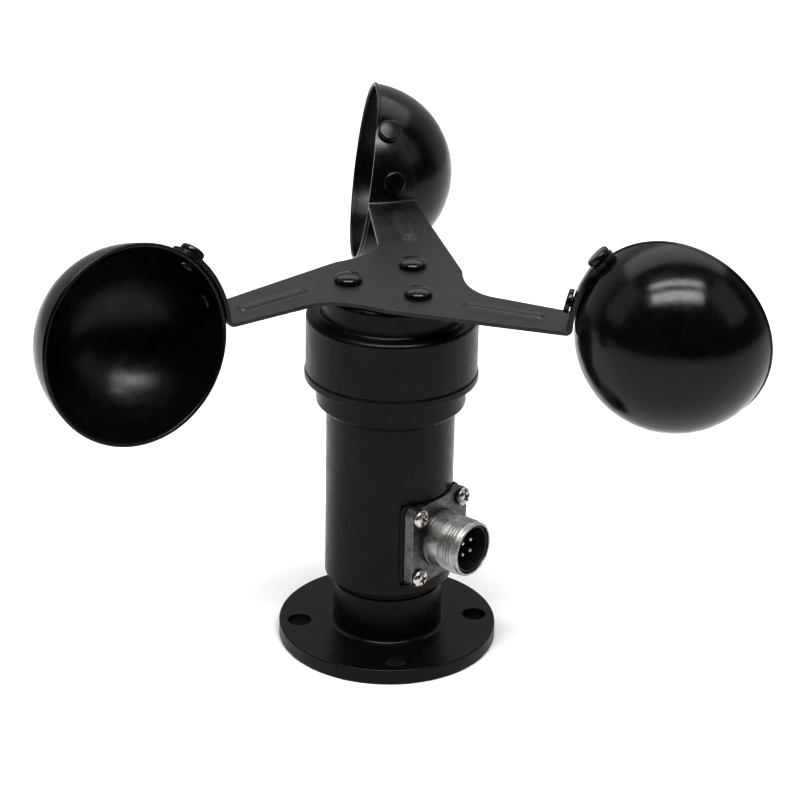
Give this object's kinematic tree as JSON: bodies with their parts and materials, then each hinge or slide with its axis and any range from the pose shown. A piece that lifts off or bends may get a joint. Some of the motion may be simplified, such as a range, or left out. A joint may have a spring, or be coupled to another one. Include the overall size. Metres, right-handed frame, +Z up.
{
  "type": "cup anemometer",
  "caption": "Wind speed sensor: round bolt-down flange, cylindrical body with a circular screw connector, and a freely spinning spider that carries hemispherical cups.",
  "frame": {"origin": "centre of the base flange's underside, on the spindle axis", "axes": "+Z up along the spindle towards the cups, +X out of the side connector"},
  "size_m": [0.1945, 0.2016, 0.1422],
  "materials": {
    "body_paint": "satin black paint, slight orange peel",
    "rotor_paint": "semi-gloss black paint over pressed sheet",
    "rubber": "matte black rubber",
    "connector_metal": "turned and die-cast metal, dull grey flange and brighter thread",
    "nickel": "bright nickel plate",
    "black_plastic": "moulded black plastic",
    "steel": "ground steel",
    "circuit_board": "green solder mask",
    "wire_red": "red wire insulation",
    "wire_black": "black wire insulation",
    "wire_green": "green wire insulation",
    "wire_yellow": "yellow wire insulation"
  },
  "bodies": {
    "housing": {"base_flange": "body_paint", "neck_seal": "rubber", "body_tube": "body_paint", "bearing_carrier": "body_paint", "shaft_seal": "rubber", "bearing_spacer": "steel", "lower_bearing_outer_race": "steel", "upper_bearing_outer_race": "steel", "connector_gasket": "rubber", "connector_shell": "connector_metal", "connector_insert": "black_plastic", "connector_pin_1": "nickel", "connector_pin_2": "nickel", "connector_pin_3": "nickel", "connector_pin_4": "nickel", "connector_screw_1": "nickel", "connector_screw_2": "nickel", "connector_screw_3": "nickel", "connector_screw_4": "nickel", "circuit_board": "circuit_board", "board_standoff_1": "steel", "board_standoff_2": "steel", "board_screw_1": "steel", "board_screw_2": "steel", "photo_interrupter": "black_plastic", "microcontroller": "black_plastic", "line_transceiver": "black_plastic", "supply_capacitor": "steel", "wire_header": "black_plastic", "signal_wire_1": "wire_red", "signal_wire_2": "wire_black", "signal_wire_3": "wire_green", "signal_wire_4": "wire_yellow"},
    "rotor": {"rotor_shaft": "steel", "shaft_retaining_ring": "steel", "encoder_disc": "steel", "encoder_collar": "steel", "lower_bearing_inner_race": "steel", "upper_bearing_inner_race": "steel", "rotor_hub": "body_paint", "hub_washer": "steel", "hub_nut": "steel", "cup_arm_spider": "rotor_paint", "hub_rivet_1": "rotor_paint", "hub_rivet_2": "rotor_paint", "hub_rivet_3": "rotor_paint", "wind_cup_1": "rotor_paint", "cup_rivet_1_upper": "rotor_paint", "cup_rivet_1_lower": "rotor_paint", "wind_cup_2": "rotor_paint", "cup_rivet_2_upper": "rotor_paint", "cup_rivet_2_lower": "rotor_paint", "wind_cup_3": "rotor_paint", "cup_rivet_3_upper": "rotor_paint", "cup_rivet_3_lower": "rotor_paint"},
    "lower_cage": {"lower_bearing_cage": "steel"},
    "upper_cage": {"upper_bearing_cage": "steel"}
  },
  "joints": [
    {"name": "rotor_spin", "type": "hinge", "parent": "housing", "child": "rotor", "pos_m": [0, 0, 0.0947], "axis": [0, 0, 1], "continuous": true},
    {"name": "lower_cage_spin", "type": "hinge", "parent": "housing", "child": "lower_cage", "pos_m": [0, 0, 0.0713], "axis": [0, 0, 1], "continuous": true},
    {"name": "upper_cage_spin", "type": "hinge", "parent": "housing", "child": "upper_cage", "pos_m": [0, 0, 0.0947], "axis": [0, 0, 1], "continuous": true}
  ],
  "couplings": [
    {"joint": "lower_cage_spin", "follows": "rotor_spin", "ratio": 0.413},
    {"joint": "upper_cage_spin", "follows": "rotor_spin", "ratio": 0.413}
  ]
}
